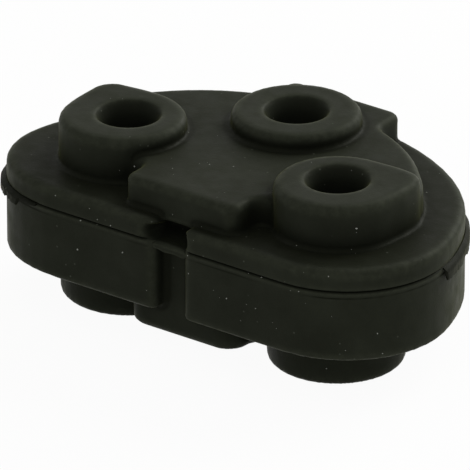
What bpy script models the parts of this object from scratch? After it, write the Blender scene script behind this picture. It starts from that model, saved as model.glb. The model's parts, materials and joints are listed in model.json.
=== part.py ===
# Rubber exhaust mount, moulded in one piece.
#
# A flat body with two round lobes and one wide rear arc carries a raised web, a bar that
# stands proud of it front and back, and three bosses. A bore runs through each boss. Web,
# bar and bosses stand out of both faces of the body, and the mould's parting line runs
# round its wall, above the middle. All sizes are in metres.

import math

import bmesh
import bpy
from mathutils import Vector

# Bores
BORE_HALF_SPAN = 0.0260
REAR_BORE_Y = 0.0217
BORE_RADIUS = 0.0057
BORE_MOUTH_ROUND = 0.0019

# Heights above and below the middle plane
BOSS_HALF_HEIGHT = 0.01965
WEB_HALF_HEIGHT = 0.0162
BODY_TOP = 0.0100
BODY_BOTTOM = -0.0098

# Body outline
LOBE_X = 0.0283
LOBE_RADIUS = 0.0215
SHOULDER_RADIUS = 0.0428
SHOULDER_START = math.radians(12.0)
SHOULDER_END = math.radians(42.3)
BODY_TOP_ROUND = 0.0016
BODY_BOTTOM_ROUND = 0.0010

# Notch in the front of the body
NOTCH_HALF_WIDTH = 0.0034
NOTCH_MOUTH_ROUND = 0.0018
NOTCH_CORNER = 0.0006
NOTCH_OVERLAP = 0.0012

# Bar across the middle
BAR_HALF_WIDTH = 0.0138
BAR_FRONT_Y = -0.0180
BAR_REAR_INSET = 0.0024
BAR_CORNER = 0.0025
BAR_LOWER_CORNER = 0.0050

# Web between the bosses
WEB_RIM = 0.0084
WEB_FRONT_Y = -0.0100
WEB_FILLET = 0.0028
WEB_ROUND = 0.0016
WEB_COVER = 0.0002

# Side bosses: D-shaped above the body, round below it
BOSS_RADIUS = 0.0130
BOSS_SHIFT_X = 0.0008
BOSS_SHIFT_Y = -0.0008
BOSS_CORNER_RADIUS = 0.0048
BOSS_CORNER_X = 0.0097
BOSS_CORNER_Y = 0.0070
LOWER_BOSS_RADIUS = 0.0140
BOSS_RIM_ROUND = 0.0018
BOSS_FOOT = 0.0007
LOWER_BOSS_FOOT = 0.0022

# Rear boss
REAR_BOSS_RADIUS = 0.0133
REAR_BOSS_FOOT = 0.0006

# Parting line and the flash on it
PARTING_Z = 0.0050
FLASH_THICKNESS = 0.0010
FLASH_TRIMMED = 0.0003
FLASH_STANDING = 0.0012
FLASH_START_X = 0.0420
FLASH_FULL_X = 0.0470
PARTING_GROOVE_DEPTH = 0.00025
PARTING_GROOVE_HEIGHT = 0.0004
NOTCH_FLASH_SETBACK = 0.0007

# Fineness of the mesh
ARC_TOLERANCE = 0.00006
MOST_ARC_STEP = math.radians(15.0)
ROUND_STEPS = 3
BORE_SIDES = 32
EDGE_LIP = 0.00003

RUBBER_COLOUR = (0.018, 0.020, 0.016, 1.0)
RUBBER_ROUGHNESS = 0.62

# Sizes that follow from the ones above
SHOULDER_REACH = LOBE_RADIUS - SHOULDER_RADIUS
SHOULDER_X = LOBE_X + SHOULDER_REACH * math.cos(SHOULDER_START)
SHOULDER_Y = SHOULDER_REACH * math.sin(SHOULDER_START)
REAR_RADIUS = SHOULDER_RADIUS + SHOULDER_X / math.cos(SHOULDER_END)
REAR_CENTRE_Y = SHOULDER_Y - SHOULDER_X * math.tan(SHOULDER_END)
REAR_Y = REAR_CENTRE_Y + REAR_RADIUS
BAR_REAR_Y = REAR_Y - BAR_REAR_INSET
BODY_LIFT = BOSS_HALF_HEIGHT
BODY_SHIFT_Y = (LOBE_RADIUS - REAR_Y) / 2.0


def clear_scene():
    for old in list(bpy.data.objects):
        bpy.data.objects.remove(old, do_unlink=True)


def rubber_material():
    material = bpy.data.materials.new("moulded_rubber")
    material.use_nodes = True
    shader = material.node_tree.nodes["Principled BSDF"]
    shader.inputs["Base Color"].default_value = RUBBER_COLOUR
    shader.inputs["Roughness"].default_value = RUBBER_ROUGHNESS
    shader.inputs["Metallic"].default_value = 0.0
    return material


# Outlines are closed chains of arcs, anticlockwise. Each arc is (centre x, centre y, radius),
# with a negative radius where the edge is hollow. Straight edges fill the spaces between them.


def joining_normal(first, second):
    """Angle of the outward normal where the edge leaves one arc for the next."""
    across = Vector((second[0] - first[0], second[1] - first[1]))
    share = (first[2] - second[2]) / across.length
    turn = math.acos(max(-1.0, min(1.0, share)))
    return math.atan2(across.y, across.x) - turn


def arc_steps(radius, sweep):
    """Enough chords to stay within ARC_TOLERANCE of a round edge."""
    size = max(abs(radius), ARC_TOLERANCE)
    step = 2.0 * math.acos(max(0.0, 1.0 - ARC_TOLERANCE / size))
    steps = math.ceil(abs(sweep) / min(step, MOST_ARC_STEP) - 1e-6)
    return max(2, steps + steps % 2)


def trace(chain):
    """(arc, angle of the normal) of each point along a chain."""
    stops = []
    for index, arc in enumerate(chain):
        start = joining_normal(chain[index - 1], arc)
        end = joining_normal(arc, chain[(index + 1) % len(chain)])
        sweep = (end - start) % math.tau
        if arc[2] < 0.0:
            sweep -= math.tau
        if abs(sweep) > math.pi * 1.5:
            sweep = 0.0
        steps = arc_steps(arc[2], sweep)
        stops += [(arc, start + sweep * step / steps) for step in range(steps + 1)]
    return stops


def round_stops(x, y, radius):
    """(arc, angle of the normal) of each point round a full circle."""
    steps = 2 * arc_steps(radius, math.pi)
    return [((x, y, radius), math.tau * step / steps) for step in range(steps)]


def ring(stops, z, inset, outset_at=None):
    """The outline at one height, moved inward by inset, and outward where outset_at says."""
    points = []
    for (x, y, radius), angle in stops:
        reach = radius - inset
        if outset_at:
            reach += outset_at(x + radius * math.cos(angle))
        points.append(Vector((x + reach * math.cos(angle), y + reach * math.sin(angle), z)))
    return points


def flipped(chain):
    """The same chain on the other side of the middle."""
    return [(-x, y, radius) for x, y, radius in reversed(chain)]


def mirrored(half):
    """A whole chain from its right half, whose last arc may lie across the middle."""
    own = half[:-1] if half[-1][0] == 0.0 else half
    return half + flipped(own)


def quarter_round(z, inset, radius, upward):
    """(z, inset) levels of a rounded edge, from the wall to the face."""
    levels = []
    for step in range(1, ROUND_STEPS + 1):
        angle = math.pi / 2.0 * step / ROUND_STEPS
        rise = radius * math.sin(angle) - radius
        levels.append((z + upward * rise, inset + radius * (1.0 - math.cos(angle))))
    return levels


def foot_fillet(z, radius, upward):
    """(z, inset) levels of a hollow fillet, from the face that it stands on to the wall."""
    levels = [(z - upward * radius, -radius), (z + upward * EDGE_LIP, -radius)]
    for step in range(1, ROUND_STEPS + 1):
        angle = math.pi / 2.0 * step / ROUND_STEPS
        rise = radius * (1.0 - math.cos(angle))
        levels.append((z + upward * (EDGE_LIP + rise), -radius * (1.0 - math.sin(angle))))
    return levels


def loft(name, rings, is_helper=True):
    """A closed solid through rings of equal length, from the bottom to the top."""
    mesh = bpy.data.meshes.new(name)
    shape = bmesh.new()
    rows = [[shape.verts.new(point) for point in points] for points in rings]
    for low, high in zip(rows, rows[1:]):
        for index in range(len(low)):
            follow = (index + 1) % len(low)
            shape.faces.new((low[index], low[follow], high[follow], high[index]))
    shape.faces.new(list(reversed(rows[0])))
    shape.faces.new(rows[-1])
    bmesh.ops.remove_doubles(shape, verts=shape.verts, dist=1e-6)
    bmesh.ops.recalc_face_normals(shape, faces=shape.faces)
    shape.to_mesh(mesh)
    shape.free()
    return place(name, mesh, is_helper)


def place(name, mesh, is_helper):
    """An object for a mesh, shaded smooth and lifted so that the mount stands on z = 0."""
    mesh.shade_smooth()
    mesh.set_sharp_from_angle(angle=math.radians(35.0))
    piece = bpy.data.objects.new(name, mesh)
    piece.location = (0.0, BODY_SHIFT_Y, BODY_LIFT)
    piece.hide_render = is_helper
    if is_helper:
        piece.display_type = "WIRE"
    bpy.context.scene.collection.objects.link(piece)
    return piece


def both_ways(levels):
    """(z, inset) levels from bottom to top, for a shape alike above and below the middle."""
    return [(-z, inset) for z, inset in reversed(levels)] + levels


def body_chain():
    """Lobes, shoulders and rear arc, each tangent to the next, and the notch in front."""
    floor_y = BAR_FRONT_Y + NOTCH_OVERLAP
    return mirrored(
        [
            (NOTCH_HALF_WIDTH - NOTCH_CORNER, floor_y - NOTCH_CORNER, -NOTCH_CORNER),
            (
                NOTCH_HALF_WIDTH + NOTCH_MOUTH_ROUND,
                NOTCH_MOUTH_ROUND - LOBE_RADIUS,
                NOTCH_MOUTH_ROUND,
            ),
            (LOBE_X, 0.0, LOBE_RADIUS),
            (SHOULDER_X, SHOULDER_Y, SHOULDER_RADIUS),
            (0.0, REAR_CENTRE_Y, REAR_RADIUS),
        ]
    )


def boss_circles():
    """Main and corner circles of the right boss. Its edge is a belt round the two."""
    main = (BORE_HALF_SPAN + BOSS_SHIFT_X, BOSS_SHIFT_Y, BOSS_RADIUS)
    corner = (BORE_HALF_SPAN + BOSS_CORNER_X, BOSS_CORNER_Y, BOSS_CORNER_RADIUS)
    return main, corner


def web_chain(bar_corner):
    """Bar and web together: the web's outer edges end inside the side bosses."""
    main, corner = boss_circles()
    web_radius = REAR_RADIUS - WEB_RIM
    fillet_x = BAR_HALF_WIDTH + WEB_FILLET
    ear_y = REAR_CENTRE_Y + math.sqrt((web_radius + WEB_FILLET) ** 2 - fillet_x**2)
    return mirrored(
        [
            (BAR_HALF_WIDTH - bar_corner, BAR_FRONT_Y + bar_corner, bar_corner),
            (fillet_x, WEB_FRONT_Y - WEB_FILLET, -WEB_FILLET),
            (main[0] + WEB_FILLET, WEB_FRONT_Y + WEB_FILLET, WEB_FILLET),
            (corner[0], corner[1], corner[2] - WEB_COVER),
            (0.0, REAR_CENTRE_Y, web_radius),
            (fillet_x, ear_y, -WEB_FILLET),
            (BAR_HALF_WIDTH - bar_corner, BAR_REAR_Y - bar_corner, bar_corner),
        ]
    )


def flash_at(x):
    """How far the flash stands out of the wall: trimmed at the front, left on at the ends."""
    share = (abs(x) - FLASH_START_X) / (FLASH_FULL_X - FLASH_START_X)
    share = max(0.0, min(1.0, share))
    blend = share * share * (3.0 - 2.0 * share)
    return FLASH_TRIMMED + (FLASH_STANDING - FLASH_TRIMMED) * blend


def make_body():
    stops = trace(body_chain())
    flash_low = PARTING_Z - FLASH_THICKNESS / 2.0
    flash_high = PARTING_Z + FLASH_THICKNESS / 2.0
    groove_top = flash_high + PARTING_GROOVE_HEIGHT
    lower = quarter_round(BODY_BOTTOM, 0.0, BODY_BOTTOM_ROUND, -1.0)
    upper = quarter_round(BODY_TOP, 0.0, BODY_TOP_ROUND, 1.0)
    rings = [ring(stops, z, inset) for z, inset in reversed(lower)]
    rings.append(ring(stops, BODY_BOTTOM + BODY_BOTTOM_ROUND, 0.0))
    rings.append(ring(stops, flash_low - EDGE_LIP, 0.0))
    rings.append(ring(stops, flash_low, 0.0, flash_at))
    rings.append(ring(stops, flash_high, 0.0, flash_at))
    rings.append(ring(stops, flash_high + EDGE_LIP, PARTING_GROOVE_DEPTH))
    rings.append(ring(stops, groove_top, 0.0))
    rings.append(ring(stops, BODY_TOP - BODY_TOP_ROUND, 0.0))
    rings += [ring(stops, z, inset) for z, inset in upper]
    return loft("exhaust_mount", rings, is_helper=False)


def make_web(name, upward, bar_corner):
    """One half of the web, from the parting line to its rounded face."""
    stops = trace(web_chain(bar_corner))
    start = PARTING_Z - upward * FLASH_THICKNESS / 4.0
    levels = [(start, 0.0), (upward * (WEB_HALF_HEIGHT - WEB_ROUND), 0.0)]
    levels += quarter_round(upward * WEB_HALF_HEIGHT, 0.0, WEB_ROUND, upward)
    return loft(name, [ring(stops, z, inset) for z, inset in levels])


def make_side_boss(name, stops, face, foot, upward):
    """One boss from inside the body, with a hollow foot where it leaves the body's face."""
    levels = [(0.0, -foot)] + foot_fillet(face, foot, upward)
    levels.append((upward * (BOSS_HALF_HEIGHT - BOSS_RIM_ROUND), 0.0))
    levels += quarter_round(upward * BOSS_HALF_HEIGHT, 0.0, BOSS_RIM_ROUND, upward)
    return loft(name, [ring(stops, z, inset) for z, inset in levels])


def make_rear_boss():
    stops = round_stops(0.0, REAR_BORE_Y, REAR_BOSS_RADIUS)
    levels = foot_fillet(WEB_HALF_HEIGHT, REAR_BOSS_FOOT, 1.0)
    levels.append((BOSS_HALF_HEIGHT - BOSS_RIM_ROUND, 0.0))
    levels += quarter_round(BOSS_HALF_HEIGHT, 0.0, BOSS_RIM_ROUND, 1.0)
    return loft("rear_boss", [ring(stops, z, inset) for z, inset in both_ways(levels)])


def make_notch_flash():
    """The thin skin of flash that closes the notch at the parting line."""
    half_width = NOTCH_HALF_WIDTH + NOTCH_MOUTH_ROUND / 2.0
    front_y = NOTCH_FLASH_SETBACK - LOBE_RADIUS
    rear_y = BAR_FRONT_Y + NOTCH_OVERLAP / 2.0
    rings = []
    for z in (PARTING_Z - FLASH_THICKNESS / 2.0, PARTING_Z + FLASH_THICKNESS / 2.0):
        rings.append(
            [
                Vector((-half_width, front_y, z)),
                Vector((half_width, front_y, z)),
                Vector((half_width, rear_y, z)),
                Vector((-half_width, rear_y, z)),
            ]
        )
    return loft("notch_flash", rings)


def make_bore_cutter(name, x, y):
    """A turned cutter: straight through the boss and opening out in a rounded mouth."""
    profile = []
    mouth_z = BOSS_HALF_HEIGHT + EDGE_LIP
    for step in range(ROUND_STEPS + 1):
        angle = math.pi / 2.0 * step / ROUND_STEPS
        drop = BORE_MOUTH_ROUND * (1.0 - math.sin(angle))
        reach = BORE_RADIUS + BORE_MOUTH_ROUND * (1.0 - math.cos(angle))
        profile.append((mouth_z - drop, reach))
    profile.append((mouth_z + BORE_MOUTH_ROUND, BORE_RADIUS + BORE_MOUTH_ROUND))
    profile = [(-z, reach) for z, reach in reversed(profile)] + profile
    mesh = bpy.data.meshes.new(name)
    shape = bmesh.new()
    start = [shape.verts.new((x + reach, y, z)) for z, reach in profile]
    edges = [shape.edges.new(pair) for pair in zip(start, start[1:])]
    bmesh.ops.spin(
        shape,
        geom=start + edges,
        cent=(x, y, 0.0),
        axis=(0.0, 0.0, 1.0),
        angle=math.tau,
        steps=BORE_SIDES,
        use_merge=True,
    )
    bmesh.ops.remove_doubles(shape, verts=shape.verts, dist=1e-6)
    bmesh.ops.holes_fill(shape, edges=[edge for edge in shape.edges if edge.is_boundary])
    bmesh.ops.recalc_face_normals(shape, faces=shape.faces)
    shape.to_mesh(mesh)
    shape.free()
    return place(name, mesh, is_helper=True)


def combine(target, other, operation):
    modifier = target.modifiers.new(other.name, "BOOLEAN")
    modifier.operation = operation
    modifier.solver = "EXACT"
    modifier.object = other


def main():
    clear_scene()
    mount = make_body()
    mount.data.materials.append(rubber_material())
    upper_chain = list(boss_circles())
    upper_right = trace(upper_chain)
    upper_left = trace(flipped(upper_chain))
    lower_right = round_stops(BORE_HALF_SPAN, 0.0, LOWER_BOSS_RADIUS)
    lower_left = round_stops(-BORE_HALF_SPAN, 0.0, LOWER_BOSS_RADIUS)
    raised = [
        make_web("upper_web", 1.0, BAR_CORNER),
        make_web("lower_web", -1.0, BAR_LOWER_CORNER),
        make_side_boss("upper_right_boss", upper_right, BODY_TOP, BOSS_FOOT, 1.0),
        make_side_boss("upper_left_boss", upper_left, BODY_TOP, BOSS_FOOT, 1.0),
        make_side_boss("lower_right_boss", lower_right, BODY_BOTTOM, LOWER_BOSS_FOOT, -1.0),
        make_side_boss("lower_left_boss", lower_left, BODY_BOTTOM, LOWER_BOSS_FOOT, -1.0),
        make_rear_boss(),
        make_notch_flash(),
    ]
    for piece in raised:
        combine(mount, piece, "UNION")
    bores = (
        ("left_bore", -BORE_HALF_SPAN, 0.0),
        ("right_bore", BORE_HALF_SPAN, 0.0),
        ("rear_bore", 0.0, REAR_BORE_Y),
    )
    for name, x, y in bores:
        combine(mount, make_bore_cutter(name, x, y), "DIFFERENCE")


main()
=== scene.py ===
# %% [markdown]
# # A moulded rubber exhaust mount
#
# The real thing is one lump of black rubber with three bores. It was pressed in a two-part
# steel mould, so a parting line runs round its wall, with a little flash left on it at both
# ends. The CAD model already has the right sizes, and this lesson dresses it: the rounded,
# slightly soft forms of moulded rubber, the parting line, the flash, the dull skin of the
# rubber and the dust that it holds.

import json
import math
import random

import bpy
import numpy as np
from mathutils import Matrix, Vector, noise
from mathutils.bvhtree import BVHTree

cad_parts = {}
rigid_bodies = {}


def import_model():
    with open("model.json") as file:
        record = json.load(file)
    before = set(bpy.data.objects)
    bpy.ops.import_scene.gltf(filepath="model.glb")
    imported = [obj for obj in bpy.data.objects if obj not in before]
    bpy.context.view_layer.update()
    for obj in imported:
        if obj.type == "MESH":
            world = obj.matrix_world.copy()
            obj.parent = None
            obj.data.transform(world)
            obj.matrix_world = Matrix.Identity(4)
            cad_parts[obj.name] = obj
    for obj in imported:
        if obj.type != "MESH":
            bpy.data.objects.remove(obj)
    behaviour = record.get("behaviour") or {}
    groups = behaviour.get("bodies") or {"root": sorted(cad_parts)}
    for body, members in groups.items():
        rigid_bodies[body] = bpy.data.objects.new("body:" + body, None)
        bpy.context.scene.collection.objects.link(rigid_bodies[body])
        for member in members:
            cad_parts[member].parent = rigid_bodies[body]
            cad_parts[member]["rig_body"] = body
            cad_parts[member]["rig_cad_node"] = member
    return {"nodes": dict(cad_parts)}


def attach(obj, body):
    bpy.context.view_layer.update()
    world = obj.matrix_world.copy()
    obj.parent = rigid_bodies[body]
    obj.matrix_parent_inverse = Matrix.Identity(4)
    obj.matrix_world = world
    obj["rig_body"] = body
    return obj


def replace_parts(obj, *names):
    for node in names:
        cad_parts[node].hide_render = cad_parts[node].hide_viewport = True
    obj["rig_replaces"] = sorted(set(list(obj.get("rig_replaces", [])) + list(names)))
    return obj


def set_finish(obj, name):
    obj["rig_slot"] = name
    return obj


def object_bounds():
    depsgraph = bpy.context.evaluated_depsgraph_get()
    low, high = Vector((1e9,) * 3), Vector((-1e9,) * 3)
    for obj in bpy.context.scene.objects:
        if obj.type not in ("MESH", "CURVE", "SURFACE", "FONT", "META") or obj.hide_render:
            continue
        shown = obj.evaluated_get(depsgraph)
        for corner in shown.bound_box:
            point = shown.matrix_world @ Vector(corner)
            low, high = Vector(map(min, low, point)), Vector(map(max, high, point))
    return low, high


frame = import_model()
cad_low, cad_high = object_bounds()
cad_node = frame["nodes"]["exhaust_mount"]
print("CAD box in mm:", [round(1000 * side, 2) for side in cad_high - cad_low])

# %% [markdown]
# ## The camera
#
# The photo was taken with a long lens from the front right, a little above the mount. With
# such a lens the near and far bosses keep almost the same size. The camera is set first,
# because the crumbs of dust are placed along its lines of sight later. MIDDLE is the point
# between the two side bores at half the mount's height. The camera looks at it, and most of
# the places below are measured from it.

# %% Camera
FRONT_TO_BORES = 0.0218
MIDDLE = Vector((0.0, cad_low.y + FRONT_TO_BORES, cad_high.z / 2))
PHOTO_SIDE = 470
VIEW_TURN = math.radians(36.67)
VIEW_TILT = math.radians(25.4)
VIEW_DISTANCE = 2.0
FOCAL_PIXELS = 9971.4
SENSOR_SIDE = 36.0
MIDDLE_PIXEL = (232.15, 234.15)
NEAREST_SEEN = 0.1
FARTHEST_SEEN = 10.0

view_ahead = Vector(
    (
        -math.sin(VIEW_TURN) * math.cos(VIEW_TILT),
        math.cos(VIEW_TURN) * math.cos(VIEW_TILT),
        -math.sin(VIEW_TILT),
    )
)
view_right = Vector((math.cos(VIEW_TURN), math.sin(VIEW_TURN), 0.0))
view_up = view_right.cross(view_ahead)

camera_data = bpy.data.cameras.new("camera")
camera_data.sensor_width = SENSOR_SIDE
camera_data.lens = FOCAL_PIXELS / PHOTO_SIDE * SENSOR_SIDE
camera_data.shift_x = (PHOTO_SIDE / 2 - MIDDLE_PIXEL[0]) / PHOTO_SIDE
camera_data.shift_y = (MIDDLE_PIXEL[1] - PHOTO_SIDE / 2) / PHOTO_SIDE
camera_data.clip_start = NEAREST_SEEN
camera_data.clip_end = FARTHEST_SEEN
camera = bpy.data.objects.new("camera", camera_data)
bpy.context.scene.collection.objects.link(camera)
camera.matrix_world = Matrix(
    (
        (view_right.x, view_up.x, -view_ahead.x, MIDDLE.x - view_ahead.x * VIEW_DISTANCE),
        (view_right.y, view_up.y, -view_ahead.y, MIDDLE.y - view_ahead.y * VIEW_DISTANCE),
        (view_right.z, view_up.z, -view_ahead.z, MIDDLE.z - view_ahead.z * VIEW_DISTANCE),
        (0.0, 0.0, 0.0, 1.0),
    )
)
bpy.context.scene.camera = camera
print("lens in mm:", round(camera_data.lens, 1))

# %% [markdown]
# ## Small helpers
#
# Blender's operators act on whatever is selected, so each piece starts by selecting just
# what it needs. A copy of the CAD mesh comes as loose triangles, and merging them gives a
# surface that can be cut and reshaped.

# %% Selecting and copying
MERGE_DISTANCE = 2e-6


def only(piece):
    """Makes one piece the active and only selected object."""
    bpy.ops.object.select_all(action="DESELECT")
    piece.select_set(True)
    bpy.context.view_layer.objects.active = piece


def copy_piece(source, name):
    """A free copy of a piece, with a mesh of its own and merged points."""
    only(source)
    bpy.ops.object.duplicate(linked=False)
    piece = bpy.context.active_object
    piece.parent = None
    piece.matrix_world = Matrix.Identity(4)
    piece.name = name
    piece.data.name = name
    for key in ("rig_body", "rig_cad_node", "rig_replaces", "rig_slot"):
        if key in piece:
            del piece[key]
    bpy.ops.object.mode_set(mode="EDIT")
    bpy.ops.mesh.select_all(action="SELECT")
    bpy.ops.mesh.remove_doubles(threshold=MERGE_DISTANCE)
    bpy.ops.object.mode_set(mode="OBJECT")
    return piece


def apply_modifier(piece, kind, **settings):
    """Adds a modifier with these settings and applies it."""
    only(piece)
    modifier = piece.modifiers.new(kind.lower(), kind)
    for key, value in settings.items():
        setattr(modifier, key, value)
    bpy.ops.object.modifier_apply(modifier=modifier.name)


def points_of(piece):
    """The mesh's points as an array."""
    places = np.zeros(len(piece.data.vertices) * 3)
    piece.data.vertices.foreach_get("co", places)
    return places.reshape(-1, 3)


def normals_of(piece):
    """The direction that the surface faces at each point, as an array."""
    directions = np.zeros(len(piece.data.vertices) * 3)
    piece.data.vertices.foreach_get("normal", directions)
    return directions.reshape(-1, 3)


def put_points(piece, places):
    """Moves the mesh's points to these places."""
    piece.data.vertices.foreach_set("co", places.ravel())
    piece.data.update()


print("points of the CAD mesh:", len(points_of(cad_node)))

# %% [markdown]
# ## The body of rubber
#
# Moulded rubber has no sharp corner: each edge is rounded by the mould and softened by wear.
# The CAD mesh has the right forms with few, long faces. It could be shown as it is, but its
# long faces shade unevenly. Here a copy is cut along the parting line into what the lower
# and the upper half of the mould made, which takes off the plain rib that stands for the
# flash. The halves are lapped, joined and remeshed into small even faces. A remesh leaves
# faint steps on slanting walls, so its points are laid back on the form that it was made
# from, and then smoothed a little, the upright walls most.

# %% Two halves of the mould
RIB_LOW = MIDDLE.z + 0.0044
RIB_HIGH = MIDDLE.z + 0.0060
LAP = 0.0002
CUT_THRESHOLD = 1e-7


def half_of_mount(name, height, upper):
    """What one half of the mould made, closed with a flat cap and moved past the line."""
    half = copy_piece(cad_node, name)
    only(half)
    bpy.ops.object.mode_set(mode="EDIT")
    bpy.ops.mesh.select_all(action="SELECT")
    bpy.ops.mesh.bisect(
        plane_co=(0.0, 0.0, height),
        plane_no=(0.0, 0.0, 1.0),
        use_fill=True,
        clear_inner=upper,
        clear_outer=not upper,
        threshold=CUT_THRESHOLD,
    )
    middle = (RIB_LOW + RIB_HIGH) / 2
    reach = middle - height + (-LAP if upper else LAP)
    bpy.ops.transform.translate(value=(0.0, 0.0, reach))
    bpy.ops.object.mode_set(mode="OBJECT")
    return half


lower_half = half_of_mount("lower_half", RIB_LOW, upper=False)
upper_half = half_of_mount("upper_half", RIB_HIGH, upper=True)
print("faces of the halves:", len(lower_half.data.polygons), len(upper_half.data.polygons))

# %% One even skin
VOXEL = 0.00055
SMOOTH_ROUNDS = 2
SMOOTH_IN = 0.5
SMOOTH_OUT = -0.53
WALL_PASSES = 20
WALL_SMOOTH = 0.5
LEVEL_NORMAL = 0.12

only(lower_half)
upper_half.select_set(True)
bpy.ops.object.join()
skin = lower_half
skin.name = "mount_skin"
skin.data.name = "mount_skin"
only(skin)
bpy.ops.object.duplicate(linked=False)
form = bpy.context.active_object
apply_modifier(skin, "REMESH", mode="VOXEL", voxel_size=VOXEL)
apply_modifier(skin, "SHRINKWRAP", target=form, wrap_method="NEAREST_SURFACEPOINT")
bpy.data.objects.remove(form)
for _ in range(SMOOTH_ROUNDS):
    apply_modifier(skin, "SMOOTH", factor=SMOOTH_IN, iterations=1)
    apply_modifier(skin, "SMOOTH", factor=SMOOTH_OUT, iterations=1)
upright = np.abs(normals_of(skin)[:, 2]) < LEVEL_NORMAL
walls = skin.vertex_groups.new(name="walls")
walls.add(np.flatnonzero(upright).tolist(), 1.0, "REPLACE")
apply_modifier(
    skin, "SMOOTH", factor=WALL_SMOOTH, iterations=WALL_PASSES, vertex_group="walls"
)
bpy.ops.object.shade_smooth()
print("skin faces:", len(skin.data.polygons), "points on walls:", int(upright.sum()))

# %% [markdown]
# ## Not quite regular
#
# A mould makes both ends alike, but rubber shrinks unevenly and sags. The photo shows the
# left end a little fuller than the right one, and the corners of the two side bosses unlike.
# Above the parting line the notch has a dark pocket in its rear, and the bores are a little
# wider at their mouths. The CAD model keeps the regular form. Here the skin is pushed out or
# in by a few millimetres at most, and each push fades smoothly into the rest.

# %% Fuller ends
LOBE_X = 0.0283
BODY_SHARE_START = 0.0145
BODY_SHARE_END = 0.0195
BODY_TOP = MIDDLE.z + 0.0100
BODY_BOTTOM = MIDDLE.z - 0.0098
FLAT_MARGIN = 0.0006
LEAST_LENGTH = 1e-6
# For each push: its side, its direction and half width in degrees, and its reach.
FULL_ENDS = (
    (-1, -35.0, 56.0, 0.00140),
    (-1, 24.0, 44.0, -0.00055),
    (1, 75.0, 50.0, 0.00065),
)


def ramp(values, start, end):
    """0 at start, 1 at end, in a straight line between them and level past them."""
    return np.clip((values - start) / (end - start), 0.0, 1.0)


def fade(distance):
    """1 at distance 0, falling smoothly to 0 at distance 1."""
    return np.cos(np.clip(distance, 0.0, 1.0) * math.pi / 2) ** 2


def from_end(places, side):
    """Places seen from the middle of one end: across, along, distance and direction."""
    across = side * places[:, 0] - LOBE_X
    along = places[:, 1] - MIDDLE.y
    return across, along, np.hypot(across, along), np.degrees(np.arctan2(along, across))


places = points_of(skin)
for side, direction, half_width, reach in FULL_ENDS:
    across, along, distance, turn = from_end(places, side)
    share = fade(np.abs(turn - direction) / half_width)
    share *= ramp(distance, BODY_SHARE_START, BODY_SHARE_END)
    share[places[:, 2] > BODY_TOP + FLAT_MARGIN] = 0.0
    share[places[:, 2] < BODY_BOTTOM - FLAT_MARGIN] = 0.0
    share *= reach / np.maximum(distance, LEAST_LENGTH)
    places[:, 0] += side * across * share
    places[:, 1] += along * share
ends = places[:, 0].min(), places[:, 0].max()
print("left and right end in mm:", [round(1000 * end, 2) for end in ends])

# %% Uneven corners
CORNER_START = BODY_TOP - 0.00048
CORNER_END = BODY_TOP - 0.00008
# For each corner: x, y from the middle, the radius that moves, and the move in x and y.
CORNER_MOVES = (
    (-0.0385, 0.0095, 0.0095, (0.00056, -0.00042)),
    (0.0335, 0.0120, 0.0080, (0.00020, 0.00060)),
    (0.0400, 0.0080, 0.0055, (-0.00050, -0.00035)),
)

for x, y, radius, move in CORNER_MOVES:
    share = fade(np.hypot(places[:, 0] - x, places[:, 1] - MIDDLE.y - y) / radius)
    share *= ramp(places[:, 2], CORNER_START, CORNER_END)
    places[:, :2] += share[:, None] * move
print("corners moved:", len(CORNER_MOVES))

# %% Pocket in the notch
LINE_HEIGHT = MIDDLE.z + 0.0054
POCKET_TOP = BODY_TOP - 0.0009
POCKET_X = 0.0002
POCKET_FLAT = 0.0038
POCKET_HALF = 0.0074
POCKET_RIGHT = 0.0046
POCKET_RIGHT_FADE = 0.0010
POCKET_REAR_Y = MIDDLE.y - 0.0120
POCKET_PUSH = (-0.0008, 0.0038)

upward = ramp(places[:, 2], LINE_HEIGHT, POCKET_TOP)
beside = np.abs(places[:, 0] - POCKET_X) - POCKET_FLAT
scoop = fade(beside / (POCKET_HALF - POCKET_FLAT)) * np.sin(math.pi * upward)
scoop[places[:, 1] > POCKET_REAR_Y] = 0.0
scoop *= ramp(places[:, 0], POCKET_RIGHT, POCKET_RIGHT - POCKET_RIGHT_FADE)
places[:, :2] += scoop[:, None] * POCKET_PUSH
print("deepest push of the pocket in mm:", round(1000 * scoop.max() * POCKET_PUSH[1], 2))

# %% Mouths of the bores
BORE_CENTRES = (
    (-0.0260, MIDDLE.y),
    (0.0260, MIDDLE.y),
    (0.0, MIDDLE.y + 0.0217),
)
BORE_RADIUS = 0.0057
MOUTH_WIDER = 0.00050
MOUTH_REACH = 0.0012
MOUTH_DEPTH = 0.0035

for x, y in BORE_CENTRES:
    away = places[:, :2] - (x, y)
    radius = np.hypot(*away.T)
    share = ramp(radius, BORE_RADIUS + MOUTH_REACH, BORE_RADIUS)
    share *= fade(np.minimum(cad_high.z - places[:, 2], places[:, 2]) / MOUTH_DEPTH)
    places[:, :2] += away * (MOUTH_WIDER * share / np.maximum(radius, LEAST_LENGTH))[:, None]
places[:, 2] = np.clip(places[:, 2], 0.0, cad_high.z)
put_points(skin, places)
print("skin from", np.round(1000 * places.min(0), 2), "to", np.round(1000 * places.max(0), 2))

# %% [markdown]
# ## The parting line
#
# On the real mount the two halves of the mould meet in a narrow, dark groove. Under it the
# wall leans out a little, where flash was trimmed away. It could be a bump in the material,
# but a groove that is cut in the mesh also shows on the outline. Bisect puts clean rings of
# points round the wall, and the rings are then pushed in or out.

# %% Rings of points
GROOVE_HALF = 0.00030
LEAN_HEIGHT = 0.0014
LEAN_END = LEAN_HEIGHT + 0.0002
RING_THRESHOLD = 0.00002
RING_HEIGHTS = (
    LINE_HEIGHT + GROOVE_HALF,
    LINE_HEIGHT,
    LINE_HEIGHT - GROOVE_HALF,
    LINE_HEIGHT - LEAN_HEIGHT,
    LINE_HEIGHT - LEAN_END,
)

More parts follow.
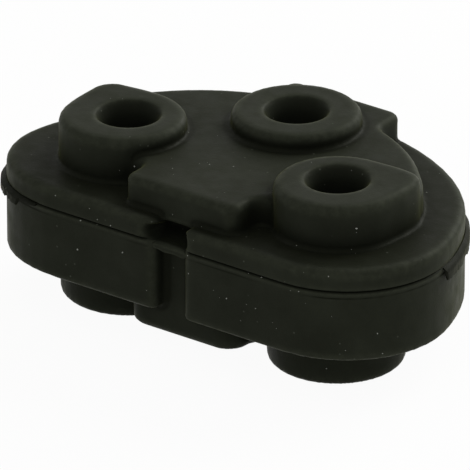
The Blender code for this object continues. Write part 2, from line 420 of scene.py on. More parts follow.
only(skin)
bpy.ops.object.mode_set(mode="EDIT")
for height in RING_HEIGHTS:
    bpy.ops.mesh.select_all(action="SELECT")
    bpy.ops.mesh.bisect(
        plane_co=(0.0, 0.0, height),
        plane_no=(0.0, 0.0, 1.0),
        threshold=RING_THRESHOLD,
    )
bpy.ops.object.mode_set(mode="OBJECT")
print("points with the rings:", len(skin.data.vertices))

# %% Groove and lean
GROOVE_DEPTH = 0.00060
LEAN_START = 0.98 * GROOVE_HALF
LEAN_TOP = 0.00010
LEAN_FOOT = -0.00014
TRIM_SCALE = 90.0
TRIM_LAYER = 5.0
TRIM_LEVEL = 0.55
TRIM_LEAST = 0.1
BORE_CLEAR = 0.0085
NOTCH_CLEAR = 0.0052
NOTCH_FADE = 0.0015
NOTCH_REAR_Y = -0.024


def on_outer_wall(places):
    """1 on the wall round the body, falling to 0 towards the notch, and 0 in the bores."""
    share = np.ones(len(places))
    for x, y in BORE_CENTRES:
        share[np.hypot(places[:, 0] - x, places[:, 1] - y) < BORE_CLEAR] = 0.0
    from_notch = np.abs(places[:, 0])
    in_front = places[:, 1] < NOTCH_REAR_Y
    share[in_front] *= ramp(from_notch, NOTCH_CLEAR - NOTCH_FADE, NOTCH_CLEAR)[in_front]
    share[(from_notch < NOTCH_CLEAR) & (places[:, 1] < 0.0) & ~in_front] = 0.0
    return share


def trimmed_at(x, y):
    """How much of the lean the trimming left at this place, in long uneven stretches."""
    uneven = noise.noise(Vector((x * TRIM_SCALE, y * TRIM_SCALE, TRIM_LAYER)))
    return min(1.0, max(TRIM_LEAST, TRIM_LEVEL + uneven))


places = points_of(skin)
above = places[:, 2] - LINE_HEIGHT
groove = -GROOVE_DEPTH * ramp(np.abs(above), GROOVE_HALF, 0.0)
lean = np.interp(
    -above,
    (LEAN_START, GROOVE_HALF, LEAN_HEIGHT, LEAN_END),
    (0.0, LEAN_TOP, LEAN_FOOT, 0.0),
)
outward = normals_of(skin)
outward[:, 2] = 0.0
outward /= np.maximum(np.linalg.norm(outward, axis=1), LEAST_LENGTH)[:, None]
trimmed = np.array([trimmed_at(x, y) for x, y, _ in places])
shift = (groove + lean * trimmed) * on_outer_wall(places)
put_points(skin, places + outward * shift[:, None])
print("points moved at the parting line:", int((shift != 0.0).sum()))

# %% [markdown]
# ## Ragged flash at both ends
#
# Where rubber was squeezed out between the halves of the mould, a thin torn skirt still
# hangs from the line at the left and right ends. A thin strip could be drawn as a curve.
# Here it is taken from the mount itself: a copy of the skin is cut just under the line, and
# the cut ring is kept at one end only. It is drawn down into a skirt, torn with noise and
# given its thickness. The points of such a strip can be numbered differently from run to run,
# so they are sorted by their distance from the cursor, which stays at the origin.

# %% A ring cut from the wall
FLASH_TOP = LINE_HEIGHT - 0.00015
CUT_BELOW = 0.0006
OUTER_WALL = 0.0185
RING_MERGE = 0.0002


def cut_ring(name, side, first, last):
    """The wall's outline at the line, between two directions from one end's middle."""
    ring = copy_piece(skin, name)
    only(ring)
    bpy.ops.object.mode_set(mode="EDIT")
    bpy.ops.mesh.select_all(action="SELECT")
    bpy.ops.mesh.bisect(
        plane_co=(0.0, 0.0, FLASH_TOP - CUT_BELOW),
        plane_no=(0.0, 0.0, 1.0),
        clear_inner=True,
        clear_outer=True,
        threshold=CUT_THRESHOLD,
    )
    bpy.ops.mesh.select_all(action="DESELECT")
    bpy.ops.object.mode_set(mode="OBJECT")
    _, _, distance, turn = from_end(points_of(ring), side)
    outside = (turn < first) | (turn > last) | (distance < OUTER_WALL)
    ring.data.vertices.foreach_set("select", outside)
    bpy.ops.object.mode_set(mode="EDIT")
    bpy.ops.mesh.delete(type="VERT")
    bpy.ops.mesh.select_all(action="SELECT")
    bpy.ops.mesh.remove_doubles(threshold=RING_MERGE)
    bpy.ops.transform.translate(value=(0.0, 0.0, CUT_BELOW))
    bpy.ops.object.mode_set(mode="OBJECT")
    return ring


# %% How far it is torn
COARSE_TEARS = 0.10
FINE_TEARS = 0.45
COARSE_LAYER = 0.3
FINE_SEED_STEP = 4.0
TEAR_LEVEL = 0.85
COARSE_SHARE = 0.25
FINE_SHARE = 0.12
TEAR_LEAST = 0.4
TEAR_MOST = 1.1
FADED_START = 0.15
FADED_RISE = 0.3
FIRST_LEFT = 0.3
FIRST_TAPER = 0.03
LAST_LEFT = 0.1
LAST_TAPER = 0.1


def tear_at(turn, share, down, faded, seed):
    """How much of the full drop is left at one place of the skirt."""
    coarse = noise.noise(Vector((turn * COARSE_TEARS, seed, COARSE_LAYER)))
    fine = noise.noise(Vector((turn * FINE_TEARS, seed + FINE_SEED_STEP, down)))
    tear = TEAR_LEVEL + COARSE_SHARE * coarse + FINE_SHARE * fine
    tear = min(TEAR_MOST, max(TEAR_LEAST, tear))
    if share < faded:
        tear *= FADED_START + FADED_RISE * share / faded
    first_end = share / FIRST_TAPER + FIRST_LEFT
    last_end = (1.0 - share) / LAST_TAPER + LAST_LEFT
    return tear * min(1.0, first_end, last_end)


# %% Flash skirts
FLASH_SHEET = 0.00035
FLASH_STEPS = 6
FLASH_LEDGE = 0.3
FLASH_ANGLE = math.radians(40.0)
STAND_LEAST = 0.15


def make_flash(name, side, first, last, faded, drop, stand, seed):
    """A torn skirt hung from the line, between two directions from one end's middle."""
    piece = cut_ring(name, side, first, last)
    bpy.ops.object.mode_set(mode="EDIT")
    bpy.ops.mesh.select_all(action="SELECT")
    for _ in range(FLASH_STEPS):
        bpy.ops.mesh.extrude_region_move(
            TRANSFORM_OT_translate={"value": (0.0, 0.0, -drop / FLASH_STEPS)}
        )
    bpy.ops.mesh.select_all(action="SELECT")
    bpy.ops.mesh.normals_make_consistent(inside=False)
    bpy.ops.mesh.sort_elements(type="CURSOR_DISTANCE", elements={"VERT", "EDGE", "FACE"})
    bpy.ops.object.mode_set(mode="OBJECT")
    places = points_of(piece)
    across, along, distance, turn = from_end(places, side)
    share = (turn - first) / (last - first)
    down = (FLASH_TOP - places[:, 2]) / drop
    tear = np.array([tear_at(*spot, faded, seed) for spot in zip(turn, share, down)])
    out = stand * np.minimum(1.0, down / FLASH_LEDGE) * np.minimum(1.0, tear + STAND_LEAST)
    places[:, 0] += side * across / distance * out
    places[:, 1] += along / distance * out
    places[:, 2] = FLASH_TOP - down * drop * tear
    put_points(piece, places)
    apply_modifier(piece, "SOLIDIFY", thickness=FLASH_SHEET, offset=0.0)
    only(piece)
    bpy.ops.object.shade_smooth_by_angle(angle=FLASH_ANGLE)
    return piece


left_flash = make_flash(
    "left_flash",
    side=-1,
    first=-78.0,
    last=-6.0,
    faded=0.20,
    drop=0.0024,
    stand=0.0011,
    seed=2.0,
)
right_flash = make_flash(
    "right_flash",
    side=1,
    first=9.0,
    last=74.0,
    faded=0.0,
    drop=0.0034,
    stand=0.0009,
    seed=7.0,
)
for piece in (left_flash, right_flash):
    lowest = FLASH_TOP - points_of(piece)[:, 2].min()
    print(piece.name, "faces:", len(piece.data.polygons), "drop in mm:", round(1000 * lowest, 2))

# %% [markdown]
# ## The skin of flash in the notch
#
# At the parting line a thin web of flash closes the notch. It lies flat at the foot of the
# pocket, turns down at the front and hangs there with a ragged edge. A box would look like a
# shelf, so a flat grid is bent along that profile and then given its thickness.

# %% Notch skin
NOTCH_SKIN_HALF = 0.0048
NOTCH_SKIN_THICKNESS = 0.0005
NOTCH_SKIN_CUTS = 19
NOTCH_SKIN_ANGLE = math.radians(50.0)
HANG_START = 0.65
# The share of the way to the ragged edge, y from the middle, and z from the parting line.
NOTCH_SKIN_PROFILE = (
    (0.0, -0.0145, -0.0001),
    (0.5, -0.0200, -0.0002),
    (HANG_START, -0.0208, -0.0005),
    (1.0, -0.0207, -0.0017),
)
RAGGED_SCALE = 500.0
RAGGED_LAYER = 3.0
RAGGED_HEIGHT = 0.0005

bpy.ops.object.select_all(action="DESELECT")
bpy.ops.mesh.primitive_plane_add(size=1.0)
notch_skin = bpy.context.active_object
notch_skin.name = "notch_skin"
notch_skin.data.name = "notch_skin"
bpy.ops.object.mode_set(mode="EDIT")
bpy.ops.mesh.select_all(action="SELECT")
bpy.ops.mesh.subdivide(number_cuts=NOTCH_SKIN_CUTS)
bpy.ops.object.mode_set(mode="OBJECT")
places = points_of(notch_skin)
steps, ahead, upward = zip(*NOTCH_SKIN_PROFILE)
for place in places:
    along = place[1] + 0.5
    place[0] *= 2 * NOTCH_SKIN_HALF
    ragged = noise.noise(Vector((place[0] * RAGGED_SCALE, RAGGED_LAYER, 0.0)))
    hang = ramp(along, HANG_START, 1.0)
    place[1] = MIDDLE.y + np.interp(along, steps, ahead)
    place[2] = LINE_HEIGHT + np.interp(along, steps, upward) + RAGGED_HEIGHT * ragged * hang
put_points(notch_skin, places)
apply_modifier(notch_skin, "SOLIDIFY", thickness=NOTCH_SKIN_THICKNESS, offset=0.0)
only(notch_skin)
bpy.ops.object.shade_smooth_by_angle(angle=NOTCH_SKIN_ANGLE)
print("notch skin faces:", len(notch_skin.data.polygons))

# %% [markdown]
# ## Where the surface is an edge or a hollow
#
# Rubber pales along its rims, where it is handled, and here the paler rims also paint on a
# highlight. Its hollows are darkened with painted shade. A material can't know by itself
# where those are, so each point of the skin gets numbers for it. Edge and crease shade come
# from how far it stands above or below its neighbours: over neighbours at distance d it
# stands d * d / (2 * radius), so four times the height over the mean square of d is the sum
# of both curvatures.

# %% Edge and crease shade attributes
FULL_EDGE = 420.0
LEAST_EDGE = 90.0
SPREAD_STEPS = 5
LEAST_SQUARE = 1e-9
RUBBER_PIECES = (skin, left_flash, right_flash, notch_skin)


def neighbours_of(piece):
    """Both ends of each of a mesh's edges, and how many edges meet at each point."""
    edges = np.zeros(len(piece.data.edges) * 2, dtype=np.int64)
    piece.data.edges.foreach_get("vertices", edges)
    first, second = edges.reshape(-1, 2).T
    size = len(piece.data.vertices)
    count = np.bincount(first, minlength=size) + np.bincount(second, minlength=size)
    return first, second, np.maximum(count, 1)


def neighbour_mean(values, first, second, count):
    """The mean of each point's neighbours."""
    total = np.zeros_like(values)
    np.add.at(total, first, values[second])
    np.add.at(total, second, values[first])
    return total / (count[:, None] if values.ndim > 1 else count)


def evened(values, neighbours, steps):
    """Values that are blended half and half with their neighbours' mean, step by step."""
    for _ in range(steps):
        values = 0.5 * values + 0.5 * neighbour_mean(values, *neighbours)
    return values


def write_attribute(piece, name, values):
    """Stores one number for each point, where a material can read it."""
    layer = piece.data.attributes.new(name, "FLOAT", "POINT")
    layer.data.foreach_set("value", values.astype(np.float32))


def mark_edges(piece):
    """Writes the attributes for the paler rims, partly a painted highlight, and for the painted
    shade of creases, both from 0 to 1, and returns the curvature.
    """
    first, second, count = neighbours_of(piece)
    places = points_of(piece)
    size = len(places)
    squares = ((places[first] - places[second]) ** 2).sum(1)
    spacing = np.bincount(first, squares, size) + np.bincount(second, squares, size)
    spacing /= count
    raised = places - neighbour_mean(places, first, second, count)
    stands = (raised * normals_of(piece)).sum(1)
    bend = 4.0 * stands / np.maximum(spacing, LEAST_SQUARE)
    bend = evened(bend, (first, second, count), SPREAD_STEPS)
    # The edge attribute feeds the paler rims, partly a painted highlight; the other feeds
    # painted shade in creases.
    for name, values in (("edge", bend), ("crease_shade", -bend)):
        write_attribute(piece, name, ramp(values, LEAST_EDGE, FULL_EDGE))
    return bend


bends = {}
for piece in RUBBER_PIECES:
    bends[piece.name] = bend = mark_edges(piece)
    print(piece.name, "bend from", round(bend.min()), "to", round(bend.max()), "per metre")

# %% [markdown]
# ## Painted shade where the surface is sheltered
#
# Light reaches some places less than others, and here that shade is painted into the colour
# of the rubber. Rays are sent out of each point, spread over the half of space that it faces,
# and the share of them that soon meet rubber is its painted shade. The flats below the boss
# tops and the pocket of the notch get more painted shade, and the bores get one value all the
# way down, since their depth already makes them dark.

# %% Rays out of the surface
SHADE_RAY_REACH = 0.014
SHADE_RAYS = 14
RAY_START = 0.0001
GOLDEN_TURN = math.pi * (3.0 - math.sqrt(5.0))

rays = []
for index in range(SHADE_RAYS):
    out = math.sqrt((index + 0.5) / SHADE_RAYS)
    turn = index * GOLDEN_TURN
    upward = math.sqrt(1.0 - out * out)
    rays.append(Vector((out * math.cos(turn), out * math.sin(turn), upward)))
print("steepest and flattest ray, upward:", round(rays[0].z, 2), round(rays[-1].z, 2))


def share_met(piece, surface):
    """For each point the share of its rays that meet rubber, where near rubber counts more."""
    met = np.zeros(len(piece.data.vertices))
    for index, vertex in enumerate(piece.data.vertices):
        facing = vertex.normal
        turned = facing.to_track_quat("Z", "Y")
        start = vertex.co + facing * RAY_START
        for ray in rays:
            distance = surface.ray_cast(start, turned @ ray, SHADE_RAY_REACH)[3]
            if distance is not None:
                met[index] += 1.0 - distance / SHADE_RAY_REACH
    return met / SHADE_RAYS


# %% Painted shade of flats, bores and pocket
LOW_FLAT_PAINTED_SHADE = 0.20
FLOOR_POWER = 4.0
FOOT_POWER = 0.5
FOOT_BEND = -60.0
BORE_PAINTED_SHADE = 0.15
BORE_MARGIN = 0.0008
BORE_SHADE_TOP = cad_high.z - 0.0004
BORE_SHADE_FADE = 0.0008
POCKET_PAINTED_SHADE = 0.08
POCKET_SHADE_HALF = 0.0066
POCKET_SHADE_FADE = 0.0014
POCKET_FOOT_FADE = 0.0006
POCKET_TOP_FADE = 0.0010


def add_painted_shade(painted_shade, piece, bend):
    """Adds painted shade to the low flats and boss feet, the bores and the pocket, beyond their
    rays.
    """
    x, y, z = points_of(piece).T
    # Painted shade on up-facing flats below the boss tops, more on the tilted feet of the
    # bosses.
    power = np.where(bend < FOOT_BEND, FOOT_POWER, FLOOR_POWER)
    low_flat_shade = np.clip(normals_of(piece)[:, 2], 0.0, 1.0) ** power
    low_flat_shade *= ramp(z, cad_high.z, BODY_TOP)
    low_flat_shade[z < LINE_HEIGHT] = 0.0
    painted_shade += LOW_FLAT_PAINTED_SHADE * low_flat_shade
    # Painted shade in the bores, blended to one value below their mouths.
    for bore_x, bore_y in BORE_CENTRES:
        inside = np.hypot(x - bore_x, y - bore_y) < BORE_RADIUS + BORE_MARGIN
        share = ramp(z, BORE_SHADE_TOP, BORE_SHADE_TOP - BORE_SHADE_FADE) * inside
        painted_shade += share * (BORE_PAINTED_SHADE - painted_shade)
    # Painted shade in the pocket of the notch, above the parting line.
    share = ramp(np.abs(x), POCKET_SHADE_HALF, POCKET_SHADE_HALF - POCKET_SHADE_FADE)
    share *= ramp(z, LINE_HEIGHT, LINE_HEIGHT + POCKET_FOOT_FADE)
    share *= ramp(z, POCKET_TOP, POCKET_TOP - POCKET_TOP_FADE)
    painted_shade += POCKET_PAINTED_SHADE * share * (y < POCKET_REAR_Y)


# %% Painted shade attribute
SHADE_SPREAD_STEPS = 3

# Painted shade: the share of rays from each point that meet the skin, darkening its colour.
surface = BVHTree.FromObject(skin, bpy.context.evaluated_depsgraph_get())
for piece in RUBBER_PIECES:
    painted_shade = share_met(piece, surface)
    add_painted_shade(painted_shade, piece, bends[piece.name])
    painted_shade = evened(painted_shade, neighbours_of(piece), SHADE_SPREAD_STEPS)
    write_attribute(piece, "painted_shade", painted_shade)
    print(piece.name, "shelter:", np.round(np.percentile(painted_shade, (5, 50, 95)), 3))

# %% [markdown]
# ## Shared effects
#
# Three effects are used by more than one material: the fine grain that the mould leaves, the
# greyish bloom that lies in patches on rubber, and fine dust. Each is a node group, built
# once, with its size and strength as named sockets.

# %% Node group helpers
COORDINATES = "Coordinates"
FLOAT = "NodeSocketFloat"
VECTOR = "NodeSocketVector"


def new_group(name, inputs, outputs):
    """An empty node group with these named sockets, and its two end nodes."""
    group = bpy.data.node_groups.new(name, "ShaderNodeTree")
    for socket, kind, start in inputs:
        made = group.interface.new_socket(socket, in_out="INPUT", socket_type=kind)
        if start is not None:
            made.default_value = start
    for socket, kind in outputs:
        group.interface.new_socket(socket, in_out="OUTPUT", socket_type=kind)
    return group, group.nodes.new("NodeGroupInput"), group.nodes.new("NodeGroupOutput")


def node(tree, kind, links=(), **settings):
    """A node with its settings. Each link is its socket and a constant or another socket."""
    made = tree.nodes.new(kind)
    for key, value in settings.items():
        setattr(made, key, value)
    for socket, source in links:
        if isinstance(source, (int, float, tuple)):
            made.inputs[socket].default_value = source
        else:
            tree.links.new(source, made.inputs[socket])
    return made


def math_node(tree, operation, first, second):
    """A Math node's output."""
    return node(
        tree, "ShaderNodeMath", [(0, first), (1, second)], operation=operation
    ).outputs[0]


def spread(tree, value, low, high):
    """A value stretched so that low becomes 0 and high becomes 1."""
    made = node(
        tree,
        "ShaderNodeMapRange",
        [("Value", value), ("From Min", low), ("From Max", high)],
        clamp=True,
    )
    return made.outputs["Result"]


# %% Grain of the mould
BROAD_SHARE = 0.16
PIT_WIDTH = 0.28

grain_group, start, end = new_group(
    "mould_grain",
    [(COORDINATES, VECTOR, None), ("Scale", FLOAT, 2600.0), ("Pits", FLOAT, 0.4)],
    [("Height", FLOAT)],
)
place, scale = start.outputs[COORDINATES], start.outputs["Scale"]
fine = node(
    grain_group,
    "ShaderNodeTexNoise",
    [("Vector", place), ("Scale", scale), ("Detail", 4.0)],
)
broad_scale = math_node(grain_group, "MULTIPLY", scale, BROAD_SHARE)
broad = node(
    grain_group,
    "ShaderNodeTexNoise",
    [("Vector", place), ("Scale", broad_scale), ("Detail", 2.0)],
)
pits = node(grain_group, "ShaderNodeTexVoronoi", [("Vector", place), ("Scale", broad_scale)])
pit_shape = spread(grain_group, pits.outputs["Distance"], 0.0, PIT_WIDTH)
pit_depth = math_node(grain_group, "MULTIPLY", pit_shape, start.outputs["Pits"])
height = math_node(grain_group, "ADD", fine.outputs["Fac"], broad.outputs["Fac"])
height = math_node(grain_group, "ADD", height, pit_depth)
grain_group.links.new(height, end.inputs["Height"])
print(grain_group.name, "nodes:", len(grain_group.nodes))

# %% Bloom on the rubber
PATCH_START = 0.36
PATCH_FULL = 0.68

bloom_group, start, end = new_group(
    "rubber_bloom",
    [(COORDINATES, VECTOR, None), ("Scale", FLOAT, 90.0), ("Amount", FLOAT, 0.5)],
    [("Mask", FLOAT)],
)
patches = node(
    bloom_group,
    "ShaderNodeTexNoise",
    [
        ("Vector", start.outputs[COORDINATES]),
        ("Scale", start.outputs["Scale"]),
        ("Detail", 5.0),
        ("Roughness", 0.62),
    ],
)
patch_mask = spread(bloom_group, patches.outputs["Fac"], PATCH_START, PATCH_FULL)
patch_mask = math_node(bloom_group, "MULTIPLY", patch_mask, start.outputs["Amount"])
bloom_group.links.new(patch_mask, end.inputs["Mask"])
print(bloom_group.name, "nodes:", len(bloom_group.nodes))

# %% Fine dust
SPECK_CORE = 0.08
SPECK_EDGE = 0.22

dust_group, start, end = new_group(
    "fine_dust",
    [(COORDINATES, VECTOR, None), ("Scale", FLOAT, 900.0), ("Rarity", FLOAT, 0.6)],
    [("Mask", FLOAT)],
)
specks = node(
    dust_group,
    "ShaderNodeTexVoronoi",
    [("Vector", start.outputs[COORDINATES]), ("Scale", start.outputs["Scale"])],
)
speck_shape = node(
    dust_group,
    "ShaderNodeMapRange",
    [
        ("Value", specks.outputs["Distance"]),
        ("From Min", SPECK_CORE),
        ("From Max", SPECK_EDGE),
        ("To Min", 1.0),
        ("To Max", 0.0),
    ],
    clamp=True,
)
chance = node(dust_group, "ShaderNodeSeparateColor", [("Color", specks.outputs["Color"])])
kept = math_node(dust_group, "GREATER_THAN", chance.outputs[0], start.outputs["Rarity"])
speck_mask = math_node(dust_group, "MULTIPLY", speck_shape.outputs["Result"], kept)
dust_group.links.new(speck_mask, end.inputs["Mask"])
print(dust_group.name, "nodes:", len(dust_group.nodes))

# %% [markdown]
# ## The rubber
#
# The photo shows a black rubber with a faint olive cast and no gloss. Its rims are paler and
# fine dust lies on it. A flat dark colour would look like a hole, so the colour is mixed in
# steps: base, bloom in patches, painted shade where rays meet rubber and in creases, paler
# edges that are wear and also a painted highlight and fade in the painted shade, and dust on
# top. The sheen stays low, since the rubber only catches light where it is seen at a grazing
# angle. The torn flash is thinner, its darker colours are painted shade, and it gets a finish
# of its own.

# %% Colours of the rubber
RUBBER_DARK = (0.0173, 0.0192, 0.0138, 1.0)
RUBBER_BLOOM = (0.0235, 0.0262, 0.0190, 1.0)
# The edge colour is pale rim wear and also a painted highlight on the rims.
RUBBER_RIM_WEAR_AND_HIGHLIGHT = (0.0362, 0.0400, 0.0282, 1.0)
# The darkest colour is painted shade, for the creases and the places that rays find sheltered.
PAINTED_SHADE_COLOUR = (0.0088, 0.0098, 0.0069, 1.0)
# The torn flash colours are a darker copy of the rubber's: painted shade on the skirt that
# stands off the wall.
TORN_SHADED_DARK = (0.0070, 0.0075, 0.0058, 1.0)
TORN_SHADED_BLOOM = (0.0150, 0.0160, 0.0125, 1.0)
TORN_SHADED_EDGE = (0.0130, 0.0140, 0.0105, 1.0)
DUST_COLOUR = (0.065, 0.070, 0.056, 1.0)
SPECULAR_TINT = (0.95, 1.0, 0.60, 1.0)
SHEEN_TINT = (0.95, 1.0, 0.25, 1.0)


def mixed(tree, share, first, second):
    """A colour between two others, as a socket."""
    return node(
        tree,
        "ShaderNodeMix",
        [("Factor", share), (6, first), (7, second)],
        data_type="RGBA",
        clamp_factor=True,
    ).outputs[2]


def effect(tree, group, place, *links):
    """The output of one of the shared effects, read at these coordinates."""
    return node(
        tree,
        "ShaderNodeGroup",
        [(COORDINATES, place), *links],
        node_tree=group,
    ).outputs[0]


# %% Rubber material
PAINTED_SHADE_RANGE = (0.02, 0.42)
RIM_FADE_IN_SHADE = (0.12, 0.35)
CREASE_SHADE_RANGE = (0.0, 0.5)
RIM_PATCH_SCALE = 600.0
RIM_PATCH_VARIES = 0.6
RIM_PATCH_LEAST = 0.25
ROUGH_SCALE = 240.0
ROUGH_VARIES = 0.16
ROUGH_LEAST = 0.40
BUMP_STRENGTH = 0.5
SHEEN_WEIGHT = 0.06
SHEEN_ROUGHNESS = 0.3


def rubber(name, dark, bloom, rim_wear_and_highlight_colour, dust_rarity, sheen_level, bump_depth):
    """A moulded rubber finish with its own colours."""
    material = bpy.data.materials.new(name)
    material.use_nodes = True
    tree = material.node_tree
    shader = tree.nodes["Principled BSDF"]
    place = node(tree, "ShaderNodeTexCoord").outputs["Object"]
    edge, crease_shade, painted_shade = (
        node(tree, "ShaderNodeAttribute", attribute_name=mark).outputs["Fac"]
        for mark in ("edge", "crease_shade", "painted_shade")
    )
    in_painted_shade = spread(tree, painted_shade, *RIM_FADE_IN_SHADE)
    colour = mixed(tree, effect(tree, bloom_group, place, ("Amount", 1.0)), dark, bloom)
    # Painted shade: darker where rays meet rubber and in creases.
    colour = mixed(tree, spread(tree, painted_shade, *PAINTED_SHADE_RANGE), colour, PAINTED_SHADE_COLOUR)
    colour = mixed(tree, spread(tree, crease_shade, *CREASE_SHADE_RANGE), colour, PAINTED_SHADE_COLOUR)
    # Paler rims: wear from handling and also a painted highlight, fading where the painted shade
    # lies.
    rub = effect(tree, bloom_group, place, ("Scale", RIM_PATCH_SCALE), ("Amount", RIM_PATCH_VARIES))
    rim_wear_and_highlight = math_node(tree, "MULTIPLY", edge, math_node(tree, "ADD", rub, RIM_PATCH_LEAST))
    rim_wear_and_highlight = math_node(tree, "MULTIPLY", rim_wear_and_highlight, math_node(tree, "SUBTRACT", 1.0, in_painted_shade))
    colour = mixed(tree, rim_wear_and_highlight, colour, rim_wear_and_highlight_colour)
    dust = effect(tree, dust_group, place, ("Rarity", dust_rarity))
    colour = mixed(tree, dust, colour, DUST_COLOUR)
    tree.links.new(colour, shader.inputs["Base Color"])
    rough = effect(
        tree, bloom_group, place, ("Scale", ROUGH_SCALE), ("Amount", ROUGH_VARIES)
    )
    rough = math_node(tree, "ADD", rough, ROUGH_LEAST)
    tree.links.new(rough, shader.inputs["Roughness"])
    height = effect(tree, grain_group, place)
    bump = node(
        tree,
        "ShaderNodeBump",
        [("Height", height), ("Strength", BUMP_STRENGTH), ("Distance", bump_depth)],
    )
    tree.links.new(bump.outputs["Normal"], shader.inputs["Normal"])
    shader.inputs["Metallic"].default_value = 0.0
    shader.inputs["Specular IOR Level"].default_value = sheen_level
    shader.inputs["Specular Tint"].default_value = SPECULAR_TINT
    shader.inputs["Sheen Weight"].default_value = SHEEN_WEIGHT
    shader.inputs["Sheen Roughness"].default_value = SHEEN_ROUGHNESS
    shader.inputs["Sheen Tint"].default_value = SHEEN_TINT
    return material


moulded_rubber = rubber(
    "moulded_rubber",
    RUBBER_DARK,
    RUBBER_BLOOM,
    RUBBER_RIM_WEAR_AND_HIGHLIGHT,
    dust_rarity=0.965,
    sheen_level=0.03,
    bump_depth=0.00005,
)
# The flash finish is the rubber darkened with painted shade.
shaded_torn_rubber = rubber(
    "shaded_torn_rubber",
    TORN_SHADED_DARK,
    TORN_SHADED_BLOOM,
    TORN_SHADED_EDGE,
    dust_rarity=0.97,
    sheen_level=0.02,
    bump_depth=0.00008,
)
print("rubber finishes:", moulded_rubber.name, shaded_torn_rubber.name)

# %% [markdown]
# ## Crumbs of dust
#
# A few crumbs are large enough to see one by one. They could be painted in the material, but
# they stand on the rubber and catch light, so each one is a tiny flattened lump. It is set
# where a line of sight from the camera meets the rubber, turned to lie on the surface, and
# given a width and height drawn at random.

# %% Crumbs on the surface
# For each crumb: the pixel of the photo that shows it, across and down, and its size.
CRUMB_PIXELS = (
    (134, 166, 0.85), (80, 220, 0.85), (122, 252, 1.00), (77, 249, 0.95),
    (172, 214, 0.55), (356, 228, 1.10), (226, 298, 0.75), (261, 277, 0.75),
    (255, 308, 0.65), (377, 333, 0.75), (382, 353, 0.65), (187, 255, 0.65),
    (188, 273, 0.65), (209, 164, 0.65), (172, 168, 0.60), (426, 192, 0.65),
    (326, 368, 0.55), (296, 245, 0.60), (328, 276, 0.65), (97, 219, 0.65),
    (55, 195, 0.65), (110, 225, 0.55), (119, 170, 0.40), (298, 291, 0.55),
    (248, 273, 0.40), (246, 304, 0.40), (240, 320, 0.40), (272, 322, 0.30),
    (276, 328, 0.40), (345, 350, 0.40), (305, 303, 0.30), (331, 316, 0.30),
    (303, 272, 0.40), (290, 290, 0.30), (311, 162, 0.40), (351, 170, 0.30),
    (233, 166, 0.60), (356, 232, 0.40), (351, 249, 0.40), (355, 253, 0.30),
    (439, 173, 0.40), (110, 98, 0.40), (122, 98, 0.30), (173, 174, 0.30),
    (199, 163, 0.40), (207, 162, 0.30), (171, 158, 0.30), (188, 132, 0.40),
    (217, 135, 0.30), (89, 208, 0.40), (146, 290, 0.40), (219, 297, 0.30),
    (213, 290, 0.30), (201, 226, 0.30), (193, 240, 0.30), (224, 192, 0.30),
)
CRUMB_RADIUS = 0.00022
CRUMB_WIDTHS = (0.6, 0.9)
CRUMB_HEIGHTS = (0.4, 0.6)
CRUMB_SEED = 11


def sight_line(pixel_x, pixel_y):
    """The direction from the camera through a pixel of the photo."""
    across = (pixel_x + 0.5 - MIDDLE_PIXEL[0]) / FOCAL_PIXELS
    upward = (MIDDLE_PIXEL[1] - pixel_y - 0.5) / FOCAL_PIXELS
    return (view_ahead + view_right * across + view_up * upward).normalized()


bpy.context.view_layer.update()
drawn = random.Random(CRUMB_SEED)
eye = camera.matrix_world.translation
crumbs = []
for pixel_x, pixel_y, size in CRUMB_PIXELS:
    hit, place, facing, _ = skin.ray_cast(eye, sight_line(pixel_x, pixel_y))
    if not hit:
        continue
    bpy.ops.object.select_all(action="DESELECT")
    bpy.ops.mesh.primitive_ico_sphere_add(subdivisions=2, radius=CRUMB_RADIUS * size)
    crumb = bpy.context.active_object
    turn = facing.to_track_quat("Z", "Y").to_matrix().to_4x4()
    width, height = drawn.uniform(*CRUMB_WIDTHS), drawn.uniform(*CRUMB_HEIGHTS)
    stretch = Matrix.Diagonal((1.0, width, height, 1.0))
    spin = Matrix.Rotation(drawn.uniform(0.0, math.tau), 4, "Z")
    crumb.data.transform(Matrix.Translation(place) @ turn @ spin @ stretch)
    crumbs.append(crumb)
print("crumbs placed:", len(crumbs))

# %% One lumpy piece of all crumbs
LUMP_SCALE = 9000.0
LUMP_HEIGHT = 0.00003

bpy.ops.object.select_all(action="DESELECT")
for crumb in crumbs:
    crumb.select_set(True)
bpy.context.view_layer.objects.active = crumbs[0]
bpy.ops.object.join()
dust_crumbs = crumbs[0]
dust_crumbs.name = "dust_crumbs"
dust_crumbs.data.name = "dust_crumbs"
bpy.ops.object.shade_smooth()
places = points_of(dust_crumbs)
for place in places:
    place += LUMP_HEIGHT * noise.noise(Vector(place) * LUMP_SCALE)
put_points(dust_crumbs, places)
print("faces of the crumbs:", len(dust_crumbs.data.polygons))

# %% Dust material
CRUMB_DARK = (0.20, 0.21, 0.18, 1.0)
CRUMB_PALE = (0.45, 0.46, 0.42, 1.0)
CRUMB_PATCH_SCALE = 2500.0
CRUMB_ROUGHNESS = 0.9

pale_dust = bpy.data.materials.new("pale_dust")
pale_dust.use_nodes = True
tree = pale_dust.node_tree
shader = tree.nodes["Principled BSDF"]
place = node(tree, "ShaderNodeTexCoord").outputs["Object"]
patches = effect(tree, bloom_group, place, ("Scale", CRUMB_PATCH_SCALE), ("Amount", 1.0))
colour = mixed(tree, patches, CRUMB_DARK, CRUMB_PALE)
tree.links.new(colour, shader.inputs["Base Color"])
shader.inputs["Roughness"].default_value = CRUMB_ROUGHNESS
print("dust finish:", pale_dust.name)

# %% [markdown]
# ## Finishes and places in the frame
#
# Each piece gets its finish and rides the one body of the part. The skin takes the place of
# the CAD node, so that the two aren't shown on top of each other.

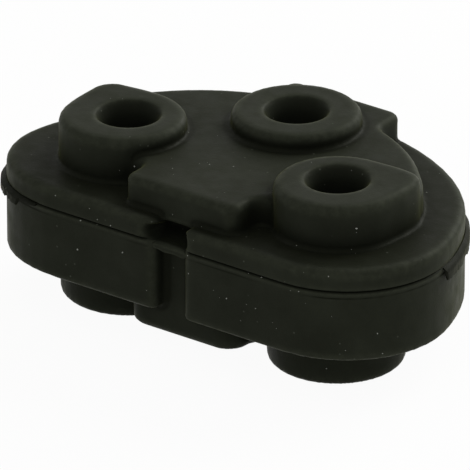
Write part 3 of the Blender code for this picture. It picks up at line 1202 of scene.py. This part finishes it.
# %% Finishes
for piece, finish in (
    (skin, moulded_rubber),
    (left_flash, shaded_torn_rubber),
    (right_flash, shaded_torn_rubber),
    (notch_skin, moulded_rubber),
    (dust_crumbs, pale_dust),
):
    piece.data.materials.clear()
    piece.data.materials.append(finish)
    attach(piece, "root")
    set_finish(piece, "rubber")
    print(piece.name, "is", finish.name)
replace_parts(skin, "exhaust_mount")

# %% [markdown]
# ## Floor and light
#
# The mount stands on a plain pale floor in soft light, mostly from above. The background is
# white because the floor and the world show white to the camera and in reflections, while
# the floor still takes part of the lamps' light, so that a faint shadow stays under the
# mount.

# %% Floor
FLOOR_SIZE = 8.0
FLOOR_COLOUR = (0.90, 0.90, 0.88, 1.0)
FLOOR_ROUGHNESS = 0.9
SHADOW_SHARE = 0.05
WHITE = (1.0, 1.0, 1.0, 1.0)

bpy.ops.object.select_all(action="DESELECT")
bpy.ops.mesh.primitive_plane_add(size=FLOOR_SIZE)
floor = bpy.context.active_object
floor.name = "floor"


def show_white(tree, lit, white_kind, share, end_name):
    """Shows a share of plain white to the rays that are seen, and the lit shader to light."""
    white = node(tree, white_kind, [("Color", WHITE), ("Strength", 1.0)])
    path = node(tree, "ShaderNodeLightPath").outputs
    seen = math_node(tree, "MAXIMUM", path["Is Camera Ray"], path["Is Glossy Ray"])
    seen = math_node(tree, "MAXIMUM", seen, path["Is Transmission Ray"])
    seen = math_node(tree, "MULTIPLY", seen, share)
    blend = node(
        tree,
        "ShaderNodeMixShader",
        [(0, seen), (1, lit.outputs[0]), (2, white.outputs[0])],
    )
    tree.links.new(blend.outputs[0], tree.nodes[end_name].inputs["Surface"])


floor_material = bpy.data.materials.new("pale_floor")
floor_material.use_nodes = True
shader = floor_material.node_tree.nodes["Principled BSDF"]
shader.inputs["Base Color"].default_value = FLOOR_COLOUR
shader.inputs["Roughness"].default_value = FLOOR_ROUGHNESS
shader.inputs["Specular IOR Level"].default_value = 0.0
show_white(
    floor_material.node_tree,
    shader,
    "ShaderNodeEmission",
    1.0 - SHADOW_SHARE,
    "Material Output",
)
floor.data.materials.append(floor_material)
print("floor in metres:", FLOOR_SIZE)

# %% World and lamps
WORLD_LIGHT = 0.45
# For each lamp: its name, place, width, depth and power.
LAMPS = (
    ("rear_softbox", (0.22, 1.00, 0.65), 0.8, 0.8, 11.5),
    ("top_softbox", (0.00, -0.20, 1.20), 1.2, 1.2, 1.0),
)

world = bpy.data.worlds.new("soft_room")
bpy.context.scene.world = world
world.use_nodes = True
room = world.node_tree.nodes["Background"]
room.inputs["Color"].default_value = WHITE
room.inputs["Strength"].default_value = WORLD_LIGHT
show_white(world.node_tree, room, "ShaderNodeBackground", 1.0, "World Output")

for name, place, width, depth, power in LAMPS:
    lamp_data = bpy.data.lights.new(name, "AREA")
    lamp_data.shape = "RECTANGLE"
    lamp_data.size = width
    lamp_data.size_y = depth
    lamp_data.energy = power
    lamp = bpy.data.objects.new(name, lamp_data)
    bpy.context.scene.collection.objects.link(lamp)
    aim = (MIDDLE - Vector(place)).to_track_quat("-Z", "Y").to_matrix().to_4x4()
    lamp.matrix_world = Matrix.Translation(place) @ aim
    print(name, "power in watts:", power)
bpy.context.scene.view_settings.view_transform = "Standard"
